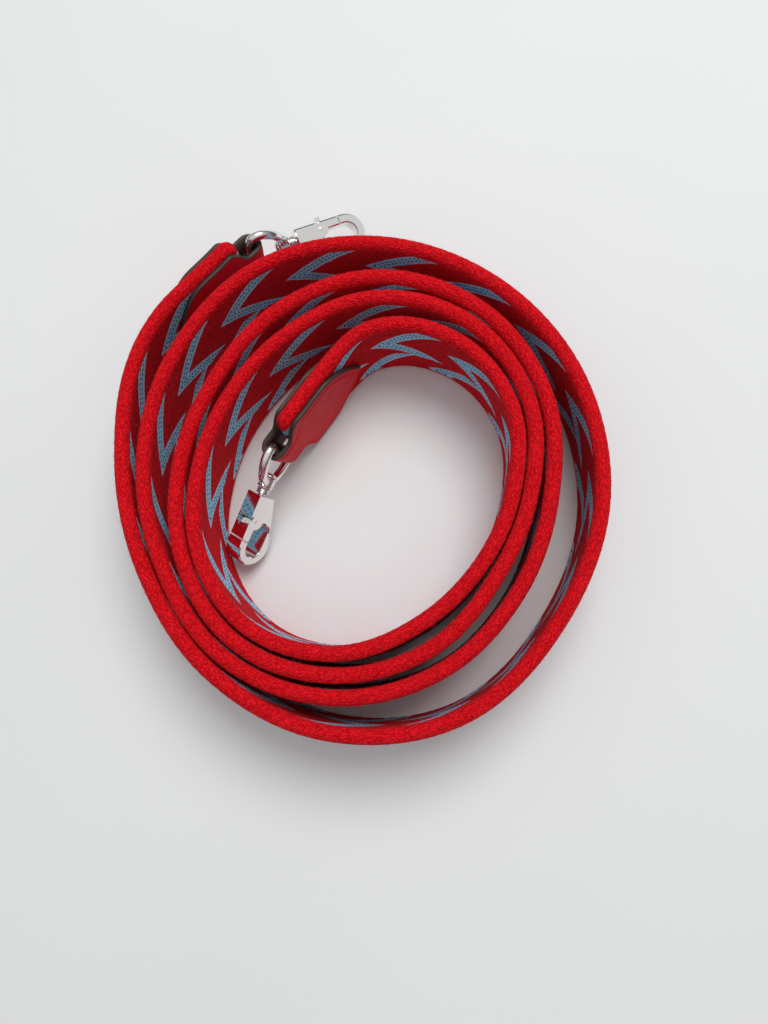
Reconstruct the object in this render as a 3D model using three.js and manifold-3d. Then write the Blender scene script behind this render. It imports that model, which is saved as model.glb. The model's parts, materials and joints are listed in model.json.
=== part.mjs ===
// A woven training leash stored as a flat coil standing on its edge, with a small swivel
// snap in a folded leather tab at each end. Millimetres, +Z up, origin on the resting plane
// under the middle of the bounding box.
import * as THREE from "three";
import Module from "manifold-3d";
import { mergeVertices } from "three/addons/utils/BufferGeometryUtils.js";

const wasm = await Module();
wasm.setup();

// ---- driving dimensions -------------------------------------------------------------
const STRAP_WIDTH = 25;
const STRAP_THICKNESS = 3.2;
const STRAP_CHAMFER = 0.9;
const STRAP_STEP = 4;
const STRAP_SETBACK = 2.6;
const MID_HEIGHT = STRAP_WIDTH / 2;

// The coil's route: its radius at every 30 degrees of turn, from the outer end inwards.
const COIL_CENTRE = new THREE.Vector2(-0.032, -7.05);
const COIL_START_DEG = 114;
const COIL_PICK_DEG = 30;
const COIL_RADII = [
  60.5, 58.8, 52.5, 50, 51.5, 54, 55, 52.5, 52.5, 52.5, 53, 54,
  54, 50.5, 47.5, 46, 47.5, 47, 45, 42.5, 42, 44.75, 46.5, 46,
  42.5, 39, 39, 41.25, 43.5, 42.5, 40, 37, 37.75, 41, 42.5, 41,
  36.5, 34, 34.5, 37.5, 39.5, 38, 34.5, 33, 34, 37, 37.5, 33.9,
  23, 19.5, 24.5,
];
const ROUTE_STEP_DEG = 1;
const END_STEPS = 24;
const JOIN_REACH = 0.2;
const BAR_REACH = 0.4;

// Leather tab: one strip folded round the eye's bar and closed over the strap's end. Its
// distances back from the bar are where the strip is bent into rings.
const LEATHER_THICKNESS = 1.1;
const LEATHER_GAP = 0.2;
const TAB_LENGTH = 27;
const TAB_HALF_HEIGHT = 11;
const TAB_NECK_HALF_HEIGHT = 5;
const TAB_NECK_LENGTH = 2.4;
const TAB_SHOULDER_LENGTH = 4.2;
const TAB_POINT_LENGTH = 13;
const TAB_TIP_HALF_HEIGHT = 1.2;
const TAB_EDGE_CHAMFER = 0.35;
const TUNNEL_RADIUS = STRAP_THICKNESS / 2 + LEATHER_GAP;
const TUNNEL_BULGE = 0.25;
const TUNNEL_END = 5;
const LEAN_START = 2.5;
const LEAN_END = 9;
const FOLD_STEPS = 10;
const TAB_BACKS = [
  TAB_LENGTH, 26.6, 25.6, 24, 22, 20, 17.5, 14, 11.5, 9.5, 8, 6.8, 5.6, 4.6, 3.6, 2.4, 1.2,
];

// Swivel eye, its headed pin and the ribbed collar on the pin.
const EYE_WIRE_RADIUS = 1.1;
const EYE_STEPS = 40;
const EYE_SIDES = 10;
const EYE_OUTLINE = [
  [0, -4.4], [0, 0], [0, 4.4], [0.9, 6.4], [3, 6.8], [5.8, 5.5], [8, 3.1],
  [8.95, 0], [8, -3.1], [5.8, -5.5], [3, -6.8], [0.9, -6.4],
];
const EYE_BOSS_START = 7.3;
const EYE_BOSS_END = 9.9;
const EYE_BOSS_RADIUS = 1.9;
const PIN_RADIUS = 0.8;
const PIN_BORE_RADIUS = 1.05;
const PIN_HEAD_RADIUS = 1.5;
const PIN_HEAD_THICKNESS = 0.8;
const PIN_HEAD_TAPER = 0.7;
const PIN_TAIL_RADIUS = 1.25;
const COLLAR_START = 10.1;
const COLLAR_END = 11.5;
const COLLAR_RADIUS = 1.7;
const COLLAR_RIBS = 3;
const COLLAR_GROOVE = 0.3;

// Snap hook, measured from its base face; the gate side is -Y and the claw swells to +Y.
const HOOK_BASE = 11.8;
const HOOK_THICKNESS = 5;
const HOOK_BEVEL = 0.3;
const HOOK_BASE_HALF_WIDTH = 2.4;
const CLAW_CENTRE = new THREE.Vector2(12.4, 2.4);
const CLAW_RADIUS = 4.6;
const SPINE_TANGENT_DEG = 112;
const HOLE_RADIUS = 2.5;
const HOLE_NEAR_CENTRE = 8.9;
const BASE_WALL = 1;
const POCKET_MARGIN = 0.2;
const HEAD_POCKET_END = 2.9;
const PIVOT = new THREE.Vector2(6.3, -0.5);
const PIVOT_PIN_RADIUS = 0.45;
const PIVOT_HOLE_RADIUS = 0.6;
const GATE_ROOT_RADIUS = 1.6;
const GATE_REACH = 5;
const GATE_DEPTH = 0.6;
const CLEARANCE = 0.3;
const SIDE_STEP = 0.05;
const GATE_CHANNEL_HALF_WIDTH = 1.15;
const GATE_CHANNEL_END = 8.2;
const LUG_RADIUS = 1.1;
const LUG_LOW = -0.85;
const LUG_HIGH = 0.05;
const LUG_NECK_HALF_WIDTH = 0.8;
const STUD_START = 6.1;
const STUD_END = 7.3;
const STUD_TIP = -3.6;
const STUD_HALF_WIDTH = 1;
const SPRING_RADIUS = 1;
const SPRING_WIRE_RADIUS = 0.13;
const SPRING_TURNS = 2;
const SPRING_MIDDLE = 0.6;
const SPRING_PITCH = 0.3;
const SPRING_LEG = 2.6;
const SPRING_POCKET_HALF_WIDTH = 0.35;
const SPRING_TURN_STEPS = 10;

// How each end lies at rest: where the strap leaves the coil's route, where the eye's bar
// stands, the way the strap's end and the eye point, how far the eye droops, and the turn of
// the hook on its swivel.
const ENDS = [
  {
    name: "outer", side: 1, joinDeg: 138, bar: new THREE.Vector2(-27.2, 57.6),
    strapDeg: 50, headingDeg: 24, droopDeg: 10, rollDeg: 207,
  },
  {
    name: "inner", side: -1, joinDeg: 1530, bar: new THREE.Vector2(-18.6, 9.2),
    strapDeg: 231, headingDeg: 244, droopDeg: 12, rollDeg: -66,
  },
];

// ---- materials ----------------------------------------------------------------------
const standard = (color, roughness, metalness) =>
  new THREE.MeshStandardMaterial({ color, roughness, metalness });
const MATERIALS = {
  webbing: () => standard(0xc4101f, 0.9, 0),
  leather: () => standard(0xa81d2c, 0.4, 0),
  polished: () => standard(0xd8d6d2, 0.15, 1),
  springSteel: () => standard(0x9a9a98, 0.35, 1),
};

// ---- solids -------------------------------------------------------------------------
// Any closed geometry as a manifold-3d solid, by its merged positions alone.
function toSolid(geometry) {
  const bare = geometry.index ? geometry.toNonIndexed() : geometry.clone();
  bare.deleteAttribute("normal");
  bare.deleteAttribute("uv");
  const merged = mergeVertices(bare, 1e-4);
  return new wasm.Manifold(new wasm.Mesh({
    numProp: 3,
    vertProperties: new Float32Array(merged.attributes.position.array),
    triVerts: new Uint32Array(merged.index.array),
  }));
}

function toGeometry(solid) {
  const mesh = solid.getMesh();
  const geometry = new THREE.BufferGeometry();
  geometry.setAttribute("position", new THREE.BufferAttribute(mesh.vertProperties, 3));
  geometry.setIndex(new THREE.BufferAttribute(mesh.triVerts, 1));
  geometry.computeVertexNormals();
  return geometry;
}

function loft(rings, closed) {
  const sides = rings[0].length;
  const positions = rings.flat().flatMap((point) => [point.x, point.y, point.z]);
  const index = [];
  const spans = closed ? rings.length : rings.length - 1;
  for (let i = 0; i < spans; i += 1) {
    const here = i * sides;
    const next = ((i + 1) % rings.length) * sides;
    for (let k = 0; k < sides; k += 1) {
      const after = (k + 1) % sides;
      index.push(here + k, here + after, next + after, here + k, next + after, next + k);
    }
  }
  if (!closed) {
    const last = (rings.length - 1) * sides;
    for (let k = 1; k < sides - 1; k += 1) {
      index.push(0, k + 1, k, last, last + k, last + k + 1);
    }
  }
  const geometry = new THREE.BufferGeometry();
  geometry.setAttribute("position", new THREE.Float32BufferAttribute(positions, 3));
  geometry.setIndex(index);
  geometry.computeVertexNormals();
  return geometry;
}

const box = (low, high) => new THREE.BoxGeometry(high[0] - low[0], high[1] - low[1], high[2] - low[2])
  .translate((low[0] + high[0]) / 2, (low[1] + high[1]) / 2, (low[2] + high[2]) / 2);

const discAt = (centre, radius, halfThickness, segments = 20) =>
  new THREE.CylinderGeometry(radius, radius, 2 * halfThickness, segments)
    .rotateX(Math.PI / 2).translate(centre.x, centre.y, 0);

// A body of revolution about X, from [x, radius] pairs that start and end on the axis.
const turned = (profile, segments = 16) =>
  new THREE.LatheGeometry(profile.map(([x, radius]) => new THREE.Vector2(radius, x)), segments)
    .rotateZ(-Math.PI / 2);

// ---- the coil's route ---------------------------------------------------------------
// Catmull-Rom interpolation of the picked radii.
function coilRadius(turnDeg) {
  const place = (turnDeg - COIL_START_DEG) / COIL_PICK_DEG;
  const first = Math.min(Math.max(Math.floor(place), 0), COIL_RADII.length - 2);
  const t = place - first;
  const pick = (i) => COIL_RADII[Math.min(Math.max(i, 0), COIL_RADII.length - 1)];
  const [a, b, c, d] = [pick(first - 1), pick(first), pick(first + 1), pick(first + 2)];
  return b + 0.5 * t * (c - a + t * (2 * a - 5 * b + 4 * c - d + t * (3 * (b - c) + d - a)));
}

const directionAt = (degrees) => {
  const angle = THREE.MathUtils.degToRad(degrees);
  return new THREE.Vector2(Math.cos(angle), Math.sin(angle));
};

const coilPoint = (turnDeg) =>
  directionAt(turnDeg).multiplyScalar(coilRadius(turnDeg)).add(COIL_CENTRE);

// The strap's end, from where it leaves the coil to the eye's bar.
function endPoints(end) {
  const join = coilPoint(end.joinDeg);
  const bar = end.bar.clone().add(COIL_CENTRE);
  const leave = coilPoint(end.joinDeg - end.side).sub(join).normalize();
  const reach = join.distanceTo(bar);
  return new THREE.CubicBezierCurve(
    join,
    join.clone().addScaledVector(leave, JOIN_REACH * reach),
    bar.clone().addScaledVector(directionAt(end.strapDeg), -BAR_REACH * reach),
    bar,
  ).getPoints(END_STEPS);
}

function makeRoute() {
  const [outer, inner] = ENDS;
  const points = endPoints(outer).reverse();
  for (let turn = outer.joinDeg + ROUTE_STEP_DEG; turn < inner.joinDeg; turn += ROUTE_STEP_DEG) {
    points.push(coilPoint(turn));
  }
  points.push(...endPoints(inner));
  const lengths = [0];
  for (let i = 1; i < points.length; i += 1) {
    lengths.push(lengths[i - 1] + points[i].distanceTo(points[i - 1]));
  }
  return { points, lengths, total: lengths.at(-1) };
}

const route = makeRoute();

// The point and unit direction at a distance along the route, straight on past its ends.
function along(distance) {
  const { points, lengths } = route;
  let i = lengths.findIndex((length) => length > distance);
  if (i < 0) i = points.length - 1;
  i = Math.max(i, 1);
  const share = (distance - lengths[i - 1]) / (lengths[i] - lengths[i - 1]);
  const before = points[Math.max(i - 2, 0)];
  const after = points[Math.min(i + 1, points.length - 1)];
  return {
    point: points[i - 1].clone().lerp(points[i], share),
    direction: after.clone().sub(before).normalize(),
  };
}

// ---- strap --------------------------------------------------------------------------
function strapGeometry() {
  const half = STRAP_THICKNESS / 2;
  const cut = STRAP_CHAMFER;
  const section = [
    [-half + cut, 0], [half - cut, 0], [half, cut], [half, STRAP_WIDTH - cut],
    [half - cut, STRAP_WIDTH], [-half + cut, STRAP_WIDTH], [-half, STRAP_WIDTH - cut], [-half, cut],
  ];
  const length = route.total - 2 * STRAP_SETBACK;
  const steps = Math.round(length / STRAP_STEP);
  const rings = [];
  for (let i = 0; i <= steps; i += 1) {
    const { point, direction } = along(STRAP_SETBACK + (length * i) / steps);
    rings.push(section.map(([across, z]) => new THREE.Vector3(
      point.x - direction.y * across, point.y + direction.x * across, z)));
  }
  return loft(rings, false);
}

// ---- leather tab --------------------------------------------------------------------
const smooth = (t) => {
  const x = Math.min(Math.max(t, 0), 1);
  return x * x * (3 - 2 * x);
};

// Half the strip's height at a distance back from the eye's bar.
function tabHalfHeight(back) {
  const shoulder = smooth((back - TAB_NECK_LENGTH) / TAB_SHOULDER_LENGTH);
  const body = TAB_NECK_HALF_HEIGHT + (TAB_HALF_HEIGHT - TAB_NECK_HALF_HEIGHT) * shoulder;
  const point = Math.max((back - TAB_LENGTH + TAB_POINT_LENGTH) / TAB_POINT_LENGTH, 0);
  return Math.max(body * (1 - Math.min(point, 1) ** 2), TAB_TIP_HALF_HEIGHT);
}

// The strip's inner line in plan, as distance back, side offset and outward normal.
function tabLine() {
  const bulge = (back) => TUNNEL_RADIUS + TUNNEL_BULGE * (1 - smooth((back - 1) / (TUNNEL_END - 1)));
  const leaf = (back, side) => ({ back, offset: side * bulge(back), normal: [0, side] });
  const fold = [];
  for (let i = 0; i <= FOLD_STEPS; i += 1) {
    const angle = Math.PI / 2 - (Math.PI * i) / FOLD_STEPS;
    const radius = TUNNEL_RADIUS + TUNNEL_BULGE;
    fold.push({
      back: -radius * Math.cos(angle),
      offset: radius * Math.sin(angle),
      normal: [-Math.cos(angle), Math.sin(angle)],
    });
  }
  return [
    ...TAB_BACKS.map((back) => leaf(back, 1)),
    ...fold,
    ...TAB_BACKS.toReversed().map((back) => leaf(back, -1)),
  ];
}

// Bends a point of the flat drawing along the strap's end, and leans the neck with the eye.
function onStrapEnd(end, back, offset, height) {
  const eased = 1 - smooth((back - LEAN_START) / (LEAN_END - LEAN_START));
  const lean = Math.tan(THREE.MathUtils.degToRad(end.droopDeg)) * eased;
  const leaned = back - lean * height;
  const { point, direction } = along(end.side > 0 ? leaned : route.total - leaned);
  return new THREE.Vector3(
    point.x + direction.y * offset * end.side,
    point.y - direction.x * offset * end.side,
    MID_HEIGHT + height + lean * Math.min(back, TAB_NECK_LENGTH));
}

function tabGeometry(end) {
  const rings = tabLine().map(({ back, offset, normal }) => {
    const half = tabHalfHeight(back);
    const cut = Math.min(TAB_EDGE_CHAMFER, half / 2);
    const layer = (depth, height) => onStrapEnd(
      end, back + normal[0] * depth, offset + normal[1] * depth, height);
    return [
      layer(0, half), layer(0, -half),
      layer(LEATHER_THICKNESS - cut, -half), layer(LEATHER_THICKNESS, -half + cut),
      layer(LEATHER_THICKNESS, half - cut), layer(LEATHER_THICKNESS - cut, half),
    ];
  });
  return loft(rings, false);
}

// ---- swivel eye, pin and collar -----------------------------------------------------
function eyeGeometry() {
  const outline = EYE_OUTLINE.map(([x, z]) => new THREE.Vector3(x, 0, z));
  const curve = new THREE.CatmullRomCurve3(outline, true, "centripetal");
  const rings = [];
  for (let i = 0; i < EYE_STEPS; i += 1) {
    const point = curve.getPointAt(i / EYE_STEPS);
    const tangent = curve.getTangentAt(i / EYE_STEPS);
    const outward = new THREE.Vector3(tangent.z, 0, -tangent.x);
    rings.push(Array.from({ length: EYE_SIDES }, (_, k) => {
      const angle = (2 * Math.PI * k) / EYE_SIDES;
      return point.clone()
        .addScaledVector(outward, EYE_WIRE_RADIUS * Math.cos(angle))
        .add(new THREE.Vector3(0, EYE_WIRE_RADIUS * Math.sin(angle), 0));
    }));
  }
  const boss = turned([
    [EYE_BOSS_START, 0], [EYE_BOSS_START, EYE_BOSS_RADIUS],
    [EYE_BOSS_END, EYE_BOSS_RADIUS], [EYE_BOSS_END, 0],
  ]);
  const bore = turned([
    [EYE_BOSS_START - 1, 0], [EYE_BOSS_START - 1, PIN_BORE_RADIUS],
    [EYE_BOSS_END + 1, PIN_BORE_RADIUS], [EYE_BOSS_END + 1, 0],
  ]);
  const ring = toSolid(loft(rings, true));
  return toGeometry(ring.add(toSolid(boss)).subtract(toSolid(bore)));
}

function pinGeometry() {
  const headEnd = EYE_BOSS_START - CLEARANCE / 2;
  const tailStart = HOOK_BASE + BASE_WALL + CLEARANCE / 2;
  const tailEnd = tailStart + PIN_HEAD_THICKNESS;
  return turned([
    [headEnd - PIN_HEAD_THICKNESS, 0],
    [headEnd - PIN_HEAD_THICKNESS, PIN_HEAD_RADIUS * PIN_HEAD_TAPER],
    [headEnd - PIN_HEAD_THICKNESS / 2, PIN_HEAD_RADIUS],
    [headEnd, PIN_HEAD_RADIUS],
    [headEnd, PIN_RADIUS],
    [tailStart, PIN_RADIUS],
    [tailStart, PIN_TAIL_RADIUS],
    [tailEnd, PIN_TAIL_RADIUS],
    [tailEnd, 0],
  ]);
}

function collarGeometry() {
  const pitch = (COLLAR_END - COLLAR_START) / COLLAR_RIBS;
  const profile = [[COLLAR_START, PIN_BORE_RADIUS]];
  for (let i = 0; i < COLLAR_RIBS; i += 1) {
    const start = COLLAR_START + i * pitch;
    profile.push([start, COLLAR_RADIUS - COLLAR_GROOVE]);
    profile.push([start + pitch / 2, COLLAR_RADIUS]);
  }
  profile.push([COLLAR_END, COLLAR_RADIUS - COLLAR_GROOVE]);
  profile.push([COLLAR_END, PIN_BORE_RADIUS]);
  profile.push([COLLAR_START, PIN_BORE_RADIUS]);
  return turned(profile);
}

// ---- snap hook ----------------------------------------------------------------------
function hookOutline() {
  const inset = HOOK_BEVEL;
  const start = THREE.MathUtils.degToRad(SPINE_TANGENT_DEG);
  const shape = new THREE.Shape();
  shape.moveTo(inset, inset - HOOK_BASE_HALF_WIDTH);
  shape.lineTo(CLAW_CENTRE.x, CLAW_CENTRE.y - CLAW_RADIUS + inset);
  shape.absarc(CLAW_CENTRE.x, CLAW_CENTRE.y, CLAW_RADIUS - inset, -Math.PI / 2, start, false);
  shape.lineTo(inset, HOOK_BASE_HALF_WIDTH - inset);
  shape.closePath();
  const hole = new THREE.Path();
  const radius = HOLE_RADIUS + inset;
  hole.absarc(CLAW_CENTRE.x, CLAW_CENTRE.y, radius, -Math.PI / 2, Math.PI / 2, false);
  hole.absarc(HOLE_NEAR_CENTRE, CLAW_CENTRE.y, radius, Math.PI / 2, 1.5 * Math.PI, false);
  hole.closePath();
  shape.holes.push(hole);
  return shape;
}

function hookBlank() {
  return toSolid(new THREE.ExtrudeGeometry(hookOutline(), {
    depth: HOOK_THICKNESS - 2 * HOOK_BEVEL,
    bevelThickness: HOOK_BEVEL,
    bevelSize: HOOK_BEVEL,
    bevelSegments: 1,
    curveSegments: 14,
  }).translate(0, 0, HOOK_BEVEL - HOOK_THICKNESS / 2));
}

// The band beside the hole that the gate fills, grown by a margin at its root and its tip.
function gateRegion(margin) {
  const side = toSolid(box([PIVOT.x, -CLAW_RADIUS, -HOOK_THICKNESS],
    [CLAW_CENTRE.x + CLAW_RADIUS, PIVOT.y + GATE_DEPTH, HOOK_THICKNESS]));
  const root = toSolid(discAt(PIVOT, GATE_ROOT_RADIUS + margin, HOOK_THICKNESS, 40));
  const reach = toSolid(discAt(PIVOT, GATE_REACH + margin, HOOK_THICKNESS, 64));
  return side.intersect(reach).add(root);
}

function hookBodyGeometry() {
  const stemBore = turned([[-1, 0], [-1, PIN_BORE_RADIUS], [2, PIN_BORE_RADIUS], [2, 0]]);
  const pocket = turned([
    [BASE_WALL, 0], [BASE_WALL, PIN_TAIL_RADIUS + POCKET_MARGIN],
    [HEAD_POCKET_END, PIN_TAIL_RADIUS + POCKET_MARGIN], [HEAD_POCKET_END, 0],
  ]);
  const springPocket = box(
    [HEAD_POCKET_END - CLEARANCE, PIVOT.y + SPRING_RADIUS - SPRING_POCKET_HALF_WIDTH,
      SPRING_MIDDLE - SPRING_POCKET_HALF_WIDTH - SPRING_PITCH],
    [PIVOT.x, PIVOT.y + SPRING_RADIUS + SPRING_POCKET_HALF_WIDTH,
      SPRING_MIDDLE + SPRING_POCKET_HALF_WIDTH]);
  const lugHeight = LUG_HIGH - LUG_LOW;
  const lugMiddle = (LUG_HIGH + LUG_LOW) / 2;
  const lug = discAt(PIVOT, LUG_RADIUS, lugHeight / 2).translate(0, 0, lugMiddle);
  const neck = box([HEAD_POCKET_END + CLEARANCE, PIVOT.y - LUG_NECK_HALF_WIDTH, LUG_LOW],
    [PIVOT.x, PIVOT.y + LUG_NECK_HALF_WIDTH, LUG_HIGH]);
  const pinHole = discAt(PIVOT, PIVOT_HOLE_RADIUS, HOOK_THICKNESS, 16);
  return toGeometry(hookBlank()
    .subtract(gateRegion(CLEARANCE))
    .add(toSolid(lug))
    .add(toSolid(neck))
    .subtract(toSolid(stemBore))
    .subtract(toSolid(pocket))
    .subtract(toSolid(springPocket))
    .subtract(toSolid(pinHole)));
}

function gateGeometry() {
  const bar = hookBlank().intersect(gateRegion(0));
  const root = toSolid(discAt(PIVOT, GATE_ROOT_RADIUS, HOOK_THICKNESS / 2 - SIDE_STEP, 40));
  const channel = box([0, -CLAW_RADIUS, -GATE_CHANNEL_HALF_WIDTH],
    [GATE_CHANNEL_END, CLAW_RADIUS, GATE_CHANNEL_HALF_WIDTH]);
  const stud = box([STUD_START, STUD_TIP, -STUD_HALF_WIDTH],
    [STUD_END, PIVOT.y - LUG_RADIUS - CLEARANCE, STUD_HALF_WIDTH]);
  const skin = box([STUD_START, CLAW_CENTRE.y - CLAW_RADIUS, -HOOK_THICKNESS / 2 + HOOK_BEVEL],
    [GATE_CHANNEL_END + 1, PIVOT.y - LUG_RADIUS - CLEARANCE, HOOK_THICKNESS / 2 - HOOK_BEVEL]);
  const pinHole = discAt(PIVOT, PIVOT_HOLE_RADIUS, HOOK_THICKNESS, 16);
  return toGeometry(bar
    .add(root)
    .subtract(toSolid(channel))
    .add(toSolid(stud))
    .add(toSolid(skin))
    .subtract(toSolid(pinHole)));
}

const gatePinGeometry = () =>
  discAt(PIVOT, PIVOT_PIN_RADIUS, HOOK_THICKNESS / 2 + SIDE_STEP, 16);

// A torsion spring round the gate's pin, with one straight leg back into the block.
function springGeometry() {
  const points = [new THREE.Vector3(-SPRING_LEG, SPRING_RADIUS, 0)];
  for (let i = 0; i <= SPRING_TURNS * SPRING_TURN_STEPS; i += 1) {
    const angle = Math.PI / 2 - (2 * Math.PI * i) / SPRING_TURN_STEPS;
    const lift = (i / SPRING_TURN_STEPS - SPRING_TURNS / 2) * SPRING_PITCH;
    points.push(new THREE.Vector3(
      SPRING_RADIUS * Math.cos(angle), SPRING_RADIUS * Math.sin(angle), lift));
  }
  points[0].z = points[1].z;
  const section = new THREE.Shape();
  section.absarc(0, 0, SPRING_WIRE_RADIUS, 0, 2 * Math.PI, false);
  return new THREE.ExtrudeGeometry(section, {
    steps: 30,
    curveSegments: 3,
    bevelEnabled: false,
    extrudePath: new THREE.CatmullRomCurve3(points),
  }).translate(PIVOT.x, PIVOT.y, SPRING_MIDDLE);
}

// ---- assembly -----------------------------------------------------------------------
function named(name, geometry, material) {
  const mesh = new THREE.Mesh(geometry, MATERIALS[material]());
  mesh.name = name;
  return mesh;
}

// The frame at an end: X away from the strap and drooping, Z up the eye's bar.
function endFrame(end) {
  const { point, direction } = along(end.side > 0 ? 0 : route.total);
  const heading = direction.clone().multiplyScalar(-end.side);
  const droop = THREE.MathUtils.degToRad(end.droopDeg);
  const x = new THREE.Vector3(
    heading.x * Math.cos(droop), heading.y * Math.cos(droop), -Math.sin(droop));
  const y = new THREE.Vector3(-heading.y, heading.x, 0);
  const z = new THREE.Vector3().crossVectors(x, y);
  const frame = new THREE.Group();
  frame.quaternion.setFromRotationMatrix(new THREE.Matrix4().makeBasis(x, y, z));
  frame.position.set(point.x, point.y, MID_HEIGHT);
  return { frame, heading: heading.angle() };
}

function buildEnd(end) {
  const { frame, heading } = endFrame(end);
  const eye = new THREE.Group();
  eye.rotation.z = THREE.MathUtils.degToRad(end.headingDeg) - heading;
  eye.add(named(`${end.name}_swivel_eye`, eyeGeometry(), "polished"));
  eye.add(named(`${end.name}_swivel_pin`, pinGeometry(), "polished"));
  eye.add(named(`${end.name}_swivel_collar`, collarGeometry(), "polished"));
  const hook = new THREE.Group();
  hook.position.x = HOOK_BASE;
  hook.rotation.x = THREE.MathUtils.degToRad(end.rollDeg);
  hook.add(named(`${end.name}_hook_body`, hookBodyGeometry(), "polished"));
  hook.add(named(`${end.name}_hook_gate`, gateGeometry(), "polished"));
  hook.add(named(`${end.name}_gate_pin`, gatePinGeometry(), "polished"));
  hook.add(named(`${end.name}_gate_spring`, springGeometry(), "springSteel"));
  eye.add(hook);
  frame.add(eye);
  return frame;
}

const group = new THREE.Group();
group.name = "training_leash";
group.add(named("strap_webbing", strapGeometry(), "webbing"));
for (const end of ENDS) {
  group.add(named(`${end.name}_tab_leather`, tabGeometry(end), "leather"));
  group.add(buildEnd(end));
}

export default group;
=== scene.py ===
"""A coiled woven training leash with a leather tab and a swivel snap at each end."""

import json
import math

import bmesh
import bpy
import numpy as np
from mathutils import Matrix, Vector


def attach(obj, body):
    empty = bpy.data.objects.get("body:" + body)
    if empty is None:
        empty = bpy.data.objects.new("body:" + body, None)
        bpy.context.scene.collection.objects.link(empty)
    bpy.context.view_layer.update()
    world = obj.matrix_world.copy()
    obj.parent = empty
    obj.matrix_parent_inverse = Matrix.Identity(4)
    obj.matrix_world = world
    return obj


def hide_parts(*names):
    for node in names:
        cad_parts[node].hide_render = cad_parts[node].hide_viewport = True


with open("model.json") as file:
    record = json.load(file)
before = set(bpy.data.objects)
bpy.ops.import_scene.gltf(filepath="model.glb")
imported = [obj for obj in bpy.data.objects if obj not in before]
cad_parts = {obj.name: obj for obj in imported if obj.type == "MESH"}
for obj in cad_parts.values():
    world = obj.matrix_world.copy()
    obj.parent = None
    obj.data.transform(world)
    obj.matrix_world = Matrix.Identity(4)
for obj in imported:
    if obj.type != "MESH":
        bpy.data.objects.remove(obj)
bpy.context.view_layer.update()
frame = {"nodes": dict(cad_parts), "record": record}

MM = 0.001
BEHAVIOUR = frame["record"]["behaviour"]
BODY_OF = {node: body for body, nodes in BEHAVIOUR["bodies"].items() for node in nodes}
JOINTS = {joint["name"]: joint for joint in BEHAVIOUR["joints"]}

# ---- the strap's route, as the CAD has it, in millimetres ---------------------------
# The coil's radius at every 30 degrees of turn, from the outer end inwards.
COIL_CENTRE = np.array([-0.032, -7.05])
COIL_START_DEG = 114
COIL_PICK_DEG = 30
COIL_RADII = [
    60.5, 58.8, 52.5, 50, 51.5, 54, 55, 52.5, 52.5, 52.5, 53, 54,
    54, 50.5, 47.5, 46, 47.5, 47, 45, 42.5, 42, 44.75, 46.5, 46,
    42.5, 39, 39, 41.25, 43.5, 42.5, 40, 37, 37.75, 41, 42.5, 41,
    36.5, 34, 34.5, 37.5, 39.5, 38, 34.5, 33, 34, 37, 37.5, 33.9,
    23, 19.5, 24.5,
]
# Where each end leaves the coil, its bar from the coil's centre, and how it points there.
END_STEPS = 24
JOIN_REACH = 0.2
BAR_REACH = 0.4
ENDS = {
    "outer": {"side": 1, "join": 138, "bar": (-27.2, 57.6), "heading": 50, "droop": 10},
    "inner": {"side": -1, "join": 1530, "bar": (-18.6, 9.2), "heading": 231, "droop": 12},
}

STRAP_WIDTH = 25
STRAP_SETBACK = 2.6
MID_HEIGHT = STRAP_WIDTH / 2


def unit(degrees):
    angle = math.radians(degrees)
    return np.array([math.cos(angle), math.sin(angle)])


def coil_radius(turn):
    """Catmull-Rom interpolation of the listed radii."""
    place = (turn - COIL_START_DEG) / COIL_PICK_DEG
    first = min(max(math.floor(place), 0), len(COIL_RADII) - 2)
    t = place - first
    a, b, c, d = (COIL_RADII[min(max(first + k, 0), len(COIL_RADII) - 1)] for k in (-1, 0, 1, 2))
    return b + 0.5 * t * (c - a + t * (2 * a - 5 * b + 4 * c - d + t * (3 * (b - c) + d - a)))


def coil_point(turn):
    return unit(turn) * coil_radius(turn) + COIL_CENTRE


def end_points(end):
    """The strap's end, from where it leaves the coil to the eye's bar."""
    join = coil_point(end["join"])
    bar = np.array(end["bar"]) + COIL_CENTRE
    leave = coil_point(end["join"] - end["side"]) - join
    reach = np.linalg.norm(bar - join)
    first = join + leave / np.linalg.norm(leave) * JOIN_REACH * reach
    second = bar - unit(end["heading"]) * BAR_REACH * reach
    t = np.linspace(0, 1, END_STEPS + 1)[:, None]
    return (1 - t) ** 3 * join + 3 * (1 - t) ** 2 * t * first + 3 * (1 - t) * t * t * second + t ** 3 * bar


def make_route():
    start, stop = ENDS["outer"]["join"], ENDS["inner"]["join"]
    middle = np.array([coil_point(turn) for turn in range(start + 1, stop)])
    points = np.vstack([end_points(ENDS["outer"])[::-1], middle, end_points(ENDS["inner"])])
    steps = np.linalg.norm(np.diff(points, axis=0), axis=1)
    return points, np.concatenate([[0], np.cumsum(steps)])


ROUTE, LENGTHS = make_route()
ROUTE_LENGTH = LENGTHS[-1]
DIRECTIONS = np.gradient(ROUTE, LENGTHS, axis=0)
DIRECTIONS /= np.linalg.norm(DIRECTIONS, axis=1)[:, None]


def along(distance):
    """Points and unit directions at distances along the route, straight on past its ends."""
    distance = np.asarray(distance, float)
    held = np.clip(distance, 0, ROUTE_LENGTH)
    point = np.stack([np.interp(held, LENGTHS, ROUTE[:, k]) for k in (0, 1)], -1)
    direction = np.stack([np.interp(held, LENGTHS, DIRECTIONS[:, k]) for k in (0, 1)], -1)
    direction /= np.linalg.norm(direction, axis=-1, keepdims=True)
    return point + direction * (distance - held)[..., None], direction


# ---- mesh helpers -------------------------------------------------------------------
def smooth(t):
    x = np.clip(t, 0, 1)
    return x * x * (3 - 2 * x)


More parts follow.
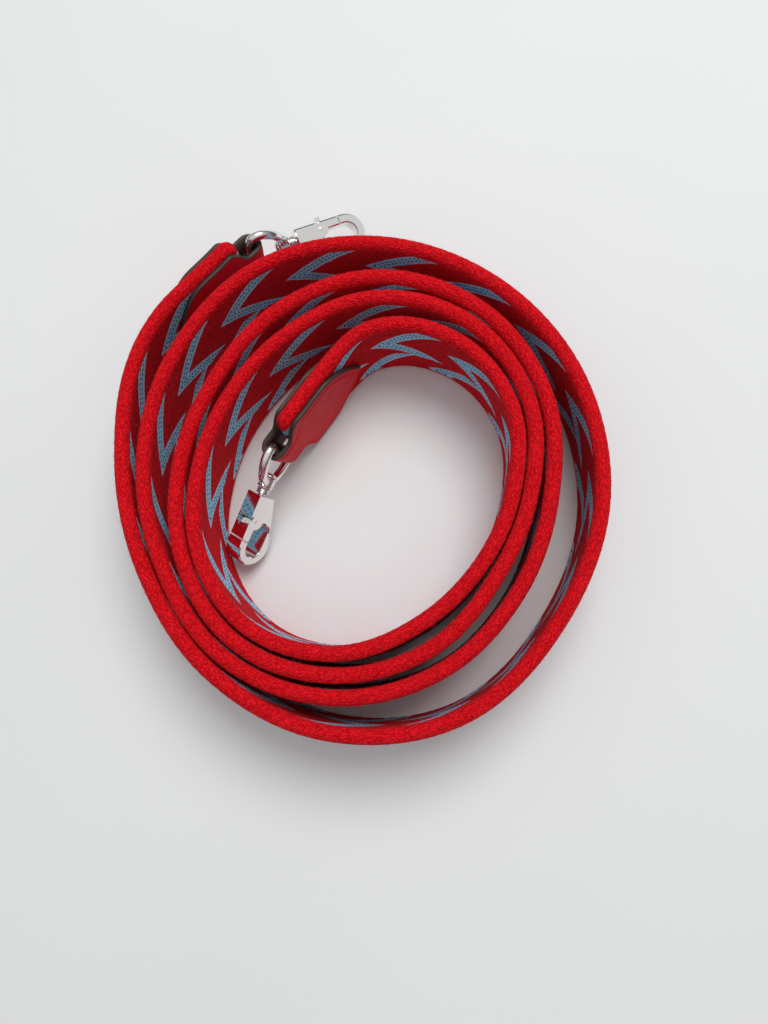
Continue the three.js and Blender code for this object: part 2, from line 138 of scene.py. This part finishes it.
def new_piece(name, points, faces, body):
    """A mesh of points in millimetres, riding on a body."""
    mesh = bpy.data.meshes.new(name)
    mesh.from_pydata((np.asarray(points) * MM).tolist(), [], faces)
    mesh.polygons.foreach_set("use_smooth", [True] * len(mesh.polygons))
    mesh.update()
    piece = bpy.data.objects.new(name, mesh)
    bpy.context.collection.objects.link(piece)
    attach(piece, body)
    return piece


def grid_faces(rings, sides):
    """Quads over a grid of rings, each ring closed on itself, with both ends capped."""
    ring, side = np.meshgrid(np.arange(rings - 1), np.arange(sides), indexing="ij")
    here, after = ring * sides, (ring + 1) * sides
    beside = (side + 1) % sides
    corners = [here + side, here + beside, after + beside, after + side]
    quads = np.stack(corners, -1).reshape(-1, 4).tolist()
    last = (rings - 1) * sides
    return quads + [list(range(sides))[::-1], list(range(last, last + sides))]


# ---- node helpers -------------------------------------------------------------------
class Graph:
    """A material's node tree, with each sum written as a call."""

    def __init__(self, name):
        self.material = bpy.data.materials.new(name)
        self.material.use_nodes = True
        self.tree = self.material.node_tree
        self.shader = self.tree.nodes["Principled BSDF"]

    def put(self, socket, value):
        if isinstance(value, bpy.types.NodeSocket):
            self.tree.links.new(value, socket)
        else:
            socket.default_value = value

    def node(self, kind, inputs=None, **settings):
        made = self.tree.nodes.new(kind)
        for key, value in settings.items():
            setattr(made, key, value)
        for socket, value in (inputs or {}).items():
            self.put(made.inputs[socket], value)
        return made

    def math(self, operation, *values):
        made = self.node("ShaderNodeMath", operation=operation)
        for socket, value in zip(made.inputs, values):
            self.put(socket, value)
        return made.outputs[0]

    def ramp(self, value, low, high, to_low=0.0, to_high=1.0):
        """A smooth step of value from low to high."""
        made = self.node("ShaderNodeMapRange", {
            "Value": value, "From Min": low, "From Max": high, "To Min": to_low, "To Max": to_high,
        }, interpolation_type="SMOOTHSTEP")
        return made.outputs["Result"]

    def mix(self, factor, first, second):
        made = self.node("ShaderNodeMix", data_type="RGBA")
        self.put(made.inputs[0], factor)
        self.put(made.inputs[6], first)
        self.put(made.inputs[7], second)
        return made.outputs[2]

    def noise(self, vector, scale, detail=3.0, roughness=0.55):
        made = self.node("ShaderNodeTexNoise", {
            "Vector": vector, "Scale": scale, "Detail": detail, "Roughness": roughness,
        })
        return made.outputs["Fac"]

    def grains(self, vector, size, lean):
        """Leaning woven grains of a size in millimetres: how raised, and a tone for each."""
        placed = self.node("ShaderNodeMapping", {
            "Vector": vector, "Rotation": (0, 0, math.radians(lean)),
            "Scale": (1 / size[0], 1 / size[1], 1),
        }).outputs[0]
        cells = self.node("ShaderNodeTexVoronoi", {
            "Vector": placed, "Scale": 1.0, "Smoothness": 0.4, "Randomness": 1.0,
        }, voronoi_dimensions="2D", feature="SMOOTH_F1")
        tone = self.node("ShaderNodeSeparateColor", {0: cells.outputs["Color"]}).outputs[0]
        return self.ramp(cells.outputs["Distance"], 0.0, 0.6, 1.0, 0.0), tone

    def uv(self, layer):
        """The two millimetre coordinates kept in a UV layer, and their vector."""
        made = self.node("ShaderNodeUVMap", uv_map=layer)
        parts = self.node("ShaderNodeSeparateXYZ", {0: made.outputs[0]})
        return parts.outputs[0], parts.outputs[1], made.outputs[0]

    def position(self):
        return self.node("ShaderNodeTexCoord").outputs["Object"]

    def bump(self, height, distance_mm, strength=1.0):
        made = self.node("ShaderNodeBump", {
            "Height": height, "Distance": distance_mm * MM, "Strength": strength,
        })
        return made.outputs[0]

    def finish(self, **inputs):
        for name, value in inputs.items():
            self.put(self.shader.inputs[name.replace("_", " ")], value)
        return self.material


def srgb(red, green, blue):
    """A colour given as 0-255 sRGB, in the linear values that sockets take."""
    def linear(value):
        value /= 255
        return value / 12.92 if value <= 0.04045 else ((value + 0.055) / 1.055) ** 2.4
    return (linear(red), linear(green), linear(blue), 1.0)


# ---- the camera and the stage -------------------------------------------------------
CAMERA_OFFSET = (19.1, -35.4)
CAMERA_HEIGHT = 185
CAMERA_AXES = (
    (0.99686, 0.0, -0.07915),
    (0.01318, 0.98605, 0.16595),
    (0.07804, -0.16648, 0.98295),
)
FLOOR_REACH = 3.0
KEY_PLACE = (0.2, 0.42, 0.85)
KEY_SIZE = 0.6
KEY_POWER = 5.6
SKY_STRENGTH = 0.68


def add_camera():
    """Looks almost straight down. Its axes point right, up and back."""
    data = bpy.data.cameras.new("camera")
    data.sensor_width = 36
    data.lens = 27.07
    data.clip_start = 0.005
    camera = bpy.data.objects.new("camera", data)
    bpy.context.collection.objects.link(camera)
    place = (*(COIL_CENTRE + CAMERA_OFFSET), CAMERA_HEIGHT)
    turn = Matrix(CAMERA_AXES).transposed().to_4x4()
    camera.matrix_world = Matrix.Translation(Vector(place) * MM) @ turn
    bpy.context.scene.camera = camera


def add_key():
    data = bpy.data.lights.new("key", "AREA")
    data.shape = "DISK"
    data.size = KEY_SIZE
    data.energy = KEY_POWER
    light = bpy.data.objects.new("key", data)
    bpy.context.collection.objects.link(light)
    place = Vector(KEY_PLACE)
    aim = (-place).to_track_quat("-Z", "Y")
    light.matrix_world = Matrix.Translation(place) @ aim.to_matrix().to_4x4()


def add_stage():
    graph = Graph("floor")
    cloud = graph.noise(graph.position(), 9.0, 2.0)
    colour = graph.mix(cloud, srgb(226, 227, 226), srgb(232, 233, 232))
    material = graph.finish(Base_Color=colour, Roughness=0.85)
    mesh = bpy.data.meshes.new("floor")
    corners = [(x * FLOOR_REACH, y * FLOOR_REACH, 0) for x, y in ((-1, -1), (1, -1), (1, 1), (-1, 1))]
    mesh.from_pydata(corners, [], [(0, 1, 2, 3)])
    mesh.materials.append(material)
    floor = bpy.data.objects.new("floor", mesh)
    bpy.context.collection.objects.link(floor)
    return floor


def add_lights():
    """A sky that brightens overhead, and one soft key light."""
    world = bpy.data.worlds.new("studio")
    world.use_nodes = True
    tree = world.node_tree
    background = tree.nodes["Background"]
    direction = tree.nodes.new("ShaderNodeTexCoord").outputs["Generated"]
    parts = tree.nodes.new("ShaderNodeSeparateXYZ")
    tree.links.new(direction, parts.inputs[0])
    sky = tree.nodes.new("ShaderNodeValToRGB")
    sky.color_ramp.elements[0].position = 0.1
    sky.color_ramp.elements[0].color = (0.10, 0.10, 0.11, 1.0)
    sky.color_ramp.elements[1].position = 0.85
    sky.color_ramp.elements[1].color = (0.97, 0.985, 1.0, 1.0)
    tree.links.new(parts.outputs[2], sky.inputs[0])
    tree.links.new(sky.outputs[0], background.inputs["Color"])
    background.inputs["Strength"].default_value = SKY_STRENGTH
    bpy.context.scene.world = world
    add_key()
    bpy.context.scene.view_settings.view_transform = "Standard"


# ---- webbing ------------------------------------------------------------------------
# The woven figure: two rows of plain chevrons, in millimetres along the run from the outer
# end and below the strap's upper edge. Tips point to the inner end.
FIGURE_PERIOD = 20.02
FIGURE_SLOPE = 0.6
FIGURE_NOTCH = 6.4
FIGURE_ROWS = [
    {"tip": 13.5 - STRAP_SETBACK, "depth": 9.4, "half": 7.4},
    {"tip": 18.9 - STRAP_SETBACK, "depth": 22.3, "half": 6.6},
]
DOT_PITCH = 1.0
DOT_ROWS = ((1.15, 0.0), (2.45, 0.5))
BAND_LOW = 1.8
BAND_HIGH = 23.3
BAND_EASE = 0.5
RAGGED = 0.7


def figure_masks(graph, run, depth):
    """The blue chevrons and the rows of dark dots along their arms, as two masks."""
    figure, dots = 0.0, 0.0
    for row in FIGURE_ROWS:
        turns = graph.math("DIVIDE", graph.math("SUBTRACT", row["tip"], run), FIGURE_PERIOD)
        behind = graph.math("MULTIPLY", graph.math("FRACT", turns), FIGURE_PERIOD)
        offset = graph.math("ABSOLUTE", graph.math("SUBTRACT", depth, row["depth"]))
        inside = graph.math("SUBTRACT", graph.math("MULTIPLY", behind, FIGURE_SLOPE), offset)
        past_notch = graph.math("SUBTRACT", FIGURE_SLOPE * FIGURE_NOTCH, inside)
        short = graph.math("SUBTRACT", row["half"], offset)
        edge = graph.math("MINIMUM", graph.math("MINIMUM", inside, past_notch), short)
        arm = graph.ramp(edge, -0.08, 0.14)
        figure = graph.math("MAXIMUM", figure, arm)
        for place, shift in DOT_ROWS:
            beat = graph.math("FRACT", graph.math("MULTIPLY_ADD", behind, 1 / DOT_PITCH, shift))
            swing = graph.math("ABSOLUTE", graph.math("SUBTRACT", beat, 0.5))
            aside = graph.math("ABSOLUTE", graph.math("SUBTRACT", inside, place))
            dot = graph.math("MULTIPLY", graph.ramp(swing, 0.22, 0.34, 1.0, 0.0),
                             graph.ramp(aside, 0.2, 0.4, 1.0, 0.0))
            dots = graph.math("MAXIMUM", dots, graph.math("MULTIPLY", dot, arm))
    return figure, dots


def make_webbing():
    graph = Graph("webbing")
    run, _, weave = graph.uv("weave")
    _, height, _ = graph.uv("face")
    depth = graph.math("SUBTRACT", STRAP_WIDTH, height)
    ragged = graph.noise(weave, 2.4, 2.0)
    shift = graph.math("MULTIPLY_ADD", ragged, RAGGED, -RAGGED / 2)
    depth_ragged = graph.math("ADD", depth, shift)
    figure, dots = figure_masks(graph, run, depth_ragged)

    # Where the woven band ends and the knitted edge begins.
    band = graph.math("MULTIPLY", graph.ramp(height, BAND_LOW, BAND_LOW + BAND_EASE),
                      graph.ramp(height, BAND_HIGH - BAND_EASE, BAND_HIGH, 1.0, 0.0))
    figure = graph.math("MULTIPLY", figure, band)
    dots = graph.math("MULTIPLY", dots, band)

    drift = graph.node("ShaderNodeTexNoise", {"Vector": weave, "Scale": 0.5, "Detail": 2.0})
    wander = graph.node("ShaderNodeVectorMath", {
        0: weave, 1: drift.outputs["Color"],
    }, operation="ADD").outputs[0]
    edge_raised, edge_tone = graph.grains(wander, (0.85, 0.36), 34)
    band_raised, band_tone = graph.grains(wander, (0.95, 0.42), 8)
    raised = graph.node("ShaderNodeMix", {0: band, 2: edge_raised, 3: band_raised}).outputs[0]
    tone = graph.node("ShaderNodeMix", {0: band, 2: edge_tone, 3: band_tone}).outputs[0]
    fibre = graph.noise(weave, 6.0, 4.0, 0.7)
    relief = graph.math("MULTIPLY_ADD", fibre, 0.45, raised)
    # Painted shade and painted highlight: the colours darken in the pits between grains and lighten on the
    # raised grains, along with a random tone for each grain.
    shade = graph.math("MULTIPLY_ADD", tone, 0.28, graph.math("MULTIPLY", relief, 0.55))

    lit = graph.ramp(shade, 0.1, 0.95)
    edge_red = graph.mix(lit, srgb(178, 0, 12), srgb(255, 26, 40))
    band_red = graph.mix(lit, srgb(166, 0, 16), srgb(244, 14, 34))
    red = graph.mix(band, edge_red, band_red)
    blue = graph.mix(lit, srgb(134, 206, 240), srgb(194, 238, 253))
    colour = graph.mix(figure, red, blue)
    colour = graph.mix(dots, colour, srgb(54, 108, 154))
    return graph.finish(
        Base_Color=colour,
        Roughness=0.9,
        Specular_IOR_Level=0.12,
        Sheen_Weight=0.05,
        Sheen_Roughness=0.5,
        Sheen_Tint=(1.0, 0.3, 0.3, 1.0),
        Normal=graph.bump(relief, 0.16),
    )


# Half the strap's thickness at its rounded edges and along its flat middle, with the height
# over which one goes over into the other. Waves are periods along the run and round it.
EDGE_RADIUS = 1.7
BODY_HALF = 1.5
SHOULDER_HEIGHT = 2.2
STRAP_STEP = 0.5
ROUND_STEPS = 12
FACE_STEPS = 13
END_ROUND = 1.6
END_CORNER = 3.2
END_LOW_CORNER = 9.0
END_RINGS = 9
STITCH_WAVES = ((1.84, 2.3), (2.9, -1.9))
STITCH_SWELL = 0.018
STITCH_LIFT = 0.03
DRIFT = 0.05
FLOOR_GAP = 0.01


def strap_section():
    """The outline of the strap's cross-section as (across, height, distance around)."""
    top_start = STRAP_WIDTH - EDGE_RADIUS
    rise = np.linspace(EDGE_RADIUS, top_start, FACE_STEPS + 1)
    inset = np.minimum(rise - EDGE_RADIUS, top_start - rise) / SHOULDER_HEIGHT
    side = EDGE_RADIUS - (EDGE_RADIUS - BODY_HALF) * smooth(inset)
    turn = np.linspace(0, math.pi, ROUND_STEPS + 1)[1:-1]
    outline = [(side[i], rise[i]) for i in range(len(rise))]
    outline += [(EDGE_RADIUS * math.cos(a), top_start + EDGE_RADIUS * math.sin(a)) for a in turn]
    outline += [(-side[i], rise[i]) for i in reversed(range(len(rise)))]
    outline += [(-EDGE_RADIUS * math.cos(a), EDGE_RADIUS - EDGE_RADIUS * math.sin(a)) for a in turn]
    outline = np.array(outline)
    loop = np.vstack([outline, outline[:1]])
    around = np.concatenate([[0], np.cumsum(np.linalg.norm(np.diff(loop, axis=0), axis=1))])
    return outline, around


def edge_drift(run):
    """The slow sideways wander of the strap's edges, from -1 to 1."""
    return (0.6 * np.sin(run / 11.3 + 0.7 * np.sin(run / 37))
            + 0.4 * np.sin(run / 4.7 + 1.3))


def make_strap(material):
    section, around = strap_section()
    sides = len(section)
    length = ROUTE_LENGTH - 2 * STRAP_SETBACK
    rounding = END_ROUND * (1 - np.cos(np.linspace(0, math.pi / 2, END_RINGS)))
    middle = np.linspace(END_ROUND, length - END_ROUND, round(length / STRAP_STEP))[1:-1]
    run = np.concatenate([rounding, middle, length - rounding[::-1]])
    from_end = np.minimum(run, length - run)
    narrowing = np.sqrt(np.clip(1 - np.clip(1 - from_end / END_ROUND, 0, 1) ** 2, 0.01, 1))
    corner = np.where(section[:, 1] < MID_HEIGHT, END_LOW_CORNER, END_CORNER)
    missing = np.clip(corner - from_end[:, None], 0, corner)
    shortening = 1 - (corner - np.sqrt(corner ** 2 - missing ** 2)) / MID_HEIGHT
    points, directions = along(STRAP_SETBACK + run)
    normals = np.stack([-directions[:, 1], directions[:, 0]], -1)

    # Stitches stand out a little from the section, and the edges wander slightly.
    s, v = np.meshgrid(run, around[:-1], indexing="ij")
    waves = [np.sin(2 * math.pi * (s / along_run + v / round_it)) for along_run, round_it in STITCH_WAVES]
    stitches = sum(waves) / len(waves)
    across = section[:, 0][None, :] * narrowing[:, None]
    height = np.repeat(section[:, 1][None, :], len(run), 0)
    centred = height - MID_HEIGHT
    swell = 1 + STITCH_SWELL * stitches
    across = across * swell + DRIFT * edge_drift(s) * (np.abs(centred) / MID_HEIGHT)
    lift = STITCH_LIFT * stitches * (np.abs(centred) > MID_HEIGHT - EDGE_RADIUS)
    height = np.clip(height + np.sign(centred) * (lift - STITCH_LIFT), FLOOR_GAP, None)
    height = MID_HEIGHT + (height - MID_HEIGHT) * shortening

    xy = points[:, None, :] + normals[:, None, :] * across[..., None]
    verts = np.concatenate([xy, height[..., None]], -1).reshape(-1, 3)
    strap = new_piece("woven_strap", verts, grid_faces(len(run), sides), "strap")
    strap.data.materials.append(material)

    weave = strap.data.uv_layers.new(name="weave")
    face = strap.data.uv_layers.new(name="face")
    loops = np.empty(len(strap.data.loops), int)
    strap.data.loops.foreach_get("vertex_index", loops)
    ring, side = loops // sides, loops % sides
    around_at = around[side]
    quads = 4 * (len(run) - 1) * sides
    order = np.arange(len(loops))
    seam = (order < quads) & (side == 0) & np.isin(order % 4, (1, 2))
    around_at[seam] = around[-1]
    weave.data.foreach_set("uv", np.stack([run[ring], around_at], -1).ravel())
    face.data.foreach_set("uv", np.stack([run[ring], section[side, 1]], -1).ravel())
    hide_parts("strap_webbing")
    return strap, length * MM


FIBRES = 15000
FIBRE_WIDTH = 0.045
FIBRE_LENGTHS = (0.25, 0.8)
FIBRE_LIE = 1.1
FIBRE_LEAN = 0.5
FIBRE_CURL = 0.25
FIBRE_ROOT = 0.1
FIBRE_BODY = np.array([[-0.5, 0], [0.5, 0], [0.35, 0.55], [-0.35, 0.55], [0, 1]])


def make_fibres():
    """Loose fibres that stand out of the strap's upper edge."""
    random = np.random.default_rng(5)
    length = ROUTE_LENGTH - 2 * STRAP_SETBACK
    run = random.uniform(END_ROUND, length - END_ROUND, FIBRES)
    around = random.uniform(0, math.pi, FIBRES)
    size = random.uniform(*FIBRE_LENGTHS, FIBRES)
    point, direction = along(STRAP_SETBACK + run)
    across = np.stack([-direction[:, 1], direction[:, 0], np.zeros(FIBRES)], -1)
    forward = np.column_stack([direction, np.zeros(FIBRES)])
    upward = np.array([0, 0, 1.0])
    out = across * np.cos(around)[:, None] + upward * np.sin(around)[:, None]
    middle = np.column_stack([point, np.full(FIBRES, STRAP_WIDTH - EDGE_RADIUS)])
    root = middle + out * (EDGE_RADIUS - FIBRE_ROOT)
    lie = random.uniform(-FIBRE_LIE, FIBRE_LIE, FIBRES)[:, None]
    lean = random.uniform(-FIBRE_LEAN, FIBRE_LEAN, FIBRES)[:, None]
    grow = out + forward * lie + across * lean
    grow *= (size / np.linalg.norm(grow, axis=1))[:, None]
    curl = forward * random.uniform(-FIBRE_CURL, FIBRE_CURL, FIBRES)[:, None]
    wide = np.cross(grow, random.normal(size=(FIBRES, 3)))
    wide *= FIBRE_WIDTH / np.linalg.norm(wide, axis=1)[:, None]
    side, rise = FIBRE_BODY[:, 0], FIBRE_BODY[:, 1]
    points = (root[:, None, :] + wide[:, None, :] * side[:, None] + grow[:, None, :] * rise[:, None]
              + curl[:, None, :] * (rise ** 2)[:, None])
    first = np.arange(FIBRES) * len(FIBRE_BODY)
    quads = (first[:, None] + [0, 1, 2, 3]).tolist()
    tips = (first[:, None] + [3, 2, 4]).tolist()
    fibres = new_piece("edge_fibres", points.reshape(-1, 3), quads + tips, "strap")
    graph = Graph("fibre")
    cloud = graph.noise(graph.position(), 500.0, 2.0)
    colour = graph.mix(cloud, srgb(206, 8, 24), srgb(252, 40, 52))
    fibres.data.materials.append(graph.finish(Base_Color=colour, Roughness=0.8))


# ---- leather tabs -------------------------------------------------------------------
LEATHER = 1.1
LEATHER_GAP = 0.2
TAB_LENGTH = 27
TAB_HALF_HEIGHT = 11
NECK_HALF_HEIGHT = 5
NECK_LENGTH = 2.4
SHOULDER_LENGTH = 4.2
POINT_LENGTH = 13
TIP_HALF_HEIGHT = 0.6
STRAP_HALF = 1.6
TUNNEL_RADIUS = STRAP_HALF + LEATHER_GAP
TUNNEL_BULGE = 0.25
TUNNEL_START = 1
TUNNEL_SPAN = 4
LEAN_START = 2.5
LEAN_SPAN = 6.5
LEAF_START = 1.2
LEAF_EASE = 5
LEAF_EASE_STEPS = 14
LEAF_STEPS = 44
FOLD_STEPS = 16
ACROSS_STEPS = 44
RIM_STEPS = 5
RIM_ROUNDING = 0.42
RIM_REACH = 0.15
OUTLINE_STEPS = 400
PLUMPNESS = 0.1
PLUMP_START = 0.2
PLUMP_SPAN = 1.3
CREASE_INSET = 1.5
CREASE_WIDTH = 0.32
CREASE_DEPTH = 0.22


def tab_half_height(back):
    """Half the strip's height at a distance back from the eye's bar."""
    shoulder = smooth((back - NECK_LENGTH) / SHOULDER_LENGTH)
    body = NECK_HALF_HEIGHT + (TAB_HALF_HEIGHT - NECK_HALF_HEIGHT) * shoulder
    point = np.clip((back - TAB_LENGTH + POINT_LENGTH) / POINT_LENGTH, 0, 1)
    return np.maximum(body * (1 - point ** 2), TIP_HALF_HEIGHT)


def tab_line():
    """The strip's inner line in plan: distance back, side offset and the outward normal."""
    leaf_back = np.concatenate([
        TAB_LENGTH - LEAF_EASE * (1 - np.cos(np.linspace(0, math.pi / 2, LEAF_EASE_STEPS))),
        np.linspace(TAB_LENGTH - LEAF_EASE, LEAF_START, LEAF_STEPS)[1:],
    ])
    bulge = TUNNEL_RADIUS + TUNNEL_BULGE * (1 - smooth((leaf_back - TUNNEL_START) / TUNNEL_SPAN))
    angle = np.linspace(math.pi / 2, -math.pi / 2, FOLD_STEPS + 1)
    radius = TUNNEL_RADIUS + TUNNEL_BULGE
    back = np.concatenate([leaf_back, -radius * np.cos(angle), leaf_back[::-1]])
    offset = np.concatenate([bulge, radius * np.sin(angle), -bulge[::-1]])
    ones = np.ones(len(leaf_back))
    normal_back = np.concatenate([0 * ones, -np.cos(angle), 0 * ones])
    normal_side = np.concatenate([ones, np.sin(angle), -ones])
    return back, offset, normal_back, normal_side


def on_strap_end(end, back, offset, height):
    """Bends points of the flat drawing along the strap's end, leaning the neck with the eye."""
    lean = math.tan(math.radians(end["droop"])) * (1 - smooth((back - LEAN_START) / LEAN_SPAN))
    leaned = back - lean * height
    point, direction = along(leaned if end["side"] > 0 else ROUTE_LENGTH - leaned)
    side = end["side"]
    return np.stack([
        point[..., 0] + direction[..., 1] * offset * side,
        point[..., 1] - direction[..., 0] * offset * side,
        MID_HEIGHT + height + lean * np.minimum(back, NECK_LENGTH),
    ], -1)


def tab_outline():
    back = np.linspace(0, TAB_LENGTH, OUTLINE_STEPS)
    half = tab_half_height(back)
    return np.stack([np.concatenate([back, back]), np.concatenate([half, -half])], -1)


OUTLINE = tab_outline()


def outline_distance(back, height):
    """How far points of the flat strip lie inside its outline."""
    gaps = np.stack([np.abs(back), height], -1)[..., None, :] - OUTLINE
    return np.sqrt((gaps ** 2).sum(-1)).min(-1)


def make_tab(name, leather, edge_paint):
    end = ENDS[name]
    back, offset, normal_back, normal_side = tab_line()
    half = tab_half_height(np.abs(back))
    half = np.where(back < 0, NECK_HALF_HEIGHT, half)
    round_angle = np.linspace(0, math.pi / 2, RIM_STEPS + 1)
    spread = np.sin(np.linspace(-math.pi / 2, math.pi / 2, ACROSS_STEPS))
    base = LEATHER - PLUMPNESS
    rings = []
    for i in range(len(back)):
        reach = max(half[i] - RIM_ROUNDING, RIM_REACH)
        face_heights = spread * reach
        inset = outline_distance(np.full(ACROSS_STEPS, back[i]), face_heights)
        crease = CREASE_DEPTH * np.exp(-((inset - CREASE_INSET) / CREASE_WIDTH) ** 2)
        plump = PLUMPNESS * smooth((inset - PLUMP_START) / PLUMP_SPAN)
        outer = list(zip(base + plump - crease, face_heights))
        top = [(base - RIM_ROUNDING * (1 - math.cos(a)), reach + RIM_ROUNDING * math.sin(a))
               for a in round_angle[1:]]
        bottom = [(depth, -height) for depth, height in top[::-1]]
        inner = [(0.0, reach + RIM_ROUNDING), (0.0, -reach - RIM_ROUNDING)]
        rings.append(bottom + outer + top + inner)
    section = np.array(rings)
    depth, height = section[..., 0], section[..., 1]
    points = on_strap_end(
        end,
        back[:, None] + normal_back[:, None] * depth,
        offset[:, None] + normal_side[:, None] * depth,
        height,
    )
    sides = section.shape[1]
    faces = grid_faces(len(back), sides)
    piece = new_piece(f"{name}_leather_tab", points.reshape(-1, 3), faces, "strap")
    piece.data.materials.append(leather)
    piece.data.materials.append(edge_paint)
    for polygon in piece.data.polygons:
        corner = polygon.vertices[0] % sides
        on_face = RIM_STEPS <= corner < RIM_STEPS + ACROSS_STEPS - 1 and len(polygon.vertices) == 4
        polygon.material_index = 0 if on_face else 1
    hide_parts(f"{name}_tab_leather")


def make_leather():
    graph = Graph("leather")
    place = graph.position()
    pores = graph.node("ShaderNodeTexVoronoi", {"Vector": place, "Scale": 4200.0}).outputs["Distance"]
    cloud = graph.noise(place, 220.0, 4.0)
    colour = graph.mix(cloud, srgb(192, 6, 28), srgb(220, 14, 42))
    height = graph.math("MULTIPLY_ADD", pores, 0.5, cloud)
    return graph.finish(
        Base_Color=colour,
        Roughness=graph.ramp(cloud, 0.3, 0.7, 0.32, 0.44),
        Specular_IOR_Level=0.06,
        Normal=graph.bump(height, 0.012),
    )


def make_edge_paint():
    graph = Graph("edge_paint")
    place = graph.position()
    cloud = graph.noise(place, 900.0, 4.0, 0.7)
    colour = graph.mix(cloud, srgb(44, 28, 24), srgb(72, 52, 44))
    return graph.finish(Base_Color=colour, Roughness=0.5, Normal=graph.bump(cloud, 0.06))


# ---- hardware -----------------------------------------------------------------------
WELD = 2e-6
FLAT = math.radians(1)
SHARP = math.radians(40)
FLATTEN_WEIGHT = 90

# The gate's root in the hook's own frame, and the plates over it, in millimetres.
PIVOT = (6.3, -0.5)
CHEEK_RADIUS = 2.0
CHEEK_LOW = -1.95
CHEEK_LEVELS = (2.503, 2.54)
CHEEK_STEPS = 40


def hook_place(name):
    """Where a hook's own frame lies: X out along its swivel, Z along its gate's pin."""
    swivel, gate = JOINTS[f"{name}_hook_swivel"], JOINTS[f"{name}_gate_open"]
    x, z = Vector(swivel["axis"]).normalized(), Vector(gate["axis"]).normalized()
    y = z.cross(x).normalized()
    turn = Matrix((x, y, x.cross(y))).transposed().to_4x4()
    return Matrix.Translation(Vector(swivel["pos_m"])) @ turn


def add_cheeks(work, place):
    """Thin plates over the gate's root, on both broad faces of the hook."""
    angles = np.linspace(0, 2 * math.pi, CHEEK_STEPS + 1)[:-1]
    outline = [(PIVOT[0] + CHEEK_RADIUS * math.cos(a),
                max(PIVOT[1] + CHEEK_RADIUS * math.sin(a), CHEEK_LOW)) for a in angles]
    for side in (-1, 1):
        rings = [[work.verts.new(place @ (Vector((x, y, side * level)) * MM)) for x, y in outline]
                 for level in CHEEK_LEVELS]
        for k in range(CHEEK_STEPS):
            after = (k + 1) % CHEEK_STEPS
            work.faces.new((rings[0][k], rings[0][after], rings[1][after], rings[1][k]))
        work.faces.new(rings[1])
        work.faces.new(rings[0][::-1])
    bmesh.ops.recalc_face_normals(work, faces=work.faces)


def finished_copy(node, material, bevel):
    """The CAD piece with its facets merged and its sharp edges eased."""
    work = bmesh.new()
    work.from_mesh(frame["nodes"][node].data)
    bmesh.ops.remove_doubles(work, verts=work.verts, dist=WELD)
    bmesh.ops.dissolve_limit(work, angle_limit=FLAT, verts=work.verts, edges=work.edges)
    sharp = [e for e in work.edges if len(e.link_faces) == 2 and e.calc_face_angle() > SHARP]
    if bevel:
        bmesh.ops.bevel(work, geom=sharp, offset=bevel * MM, segments=2, profile=0.5,
                        affect="EDGES", clamp_overlap=True)
    if node.endswith("hook_body"):
        add_cheeks(work, hook_place(node.split("_")[0]))
    mesh = bpy.data.meshes.new(f"{node}_finished")
    work.to_mesh(mesh)
    work.free()
    mesh.polygons.foreach_set("use_smooth", [True] * len(mesh.polygons))
    mesh.set_sharp_from_angle(angle=SHARP)
    mesh.materials.clear()
    mesh.materials.append(material)
    piece = bpy.data.objects.new(f"{node}_finished", mesh)
    bpy.context.collection.objects.link(piece)
    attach(piece, BODY_OF[node])
    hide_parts(node)
    if "hook" in node:
        flatten = piece.modifiers.new("flatten", "WEIGHTED_NORMAL")
        flatten.keep_sharp = True
        flatten.weight = FLATTEN_WEIGHT


BEVELS = {
    "swivel_eye": 0, "swivel_pin": 0.08, "swivel_collar": 0.05, "hook_body": 0.12,
    "hook_gate": 0.08, "gate_pin": 0.05, "gate_spring": 0,
}


def make_hardware(name):
    """Finished copies of one end's metal pieces, in the frame's own metals."""
    for part, bevel in BEVELS.items():
        slot = "spring_steel" if part == "gate_spring" else "polished"
        finished_copy(f"{name}_{part}", bpy.data.materials[slot], bevel)


# ---- assembly -----------------------------------------------------------------------
add_camera()
floor = add_stage()
add_lights()
strap, strap_length = make_strap(make_webbing())
make_fibres()
leather, edge_paint = make_leather(), make_edge_paint()
for name in ENDS:
    make_tab(name, leather, edge_paint)
    make_hardware(name)
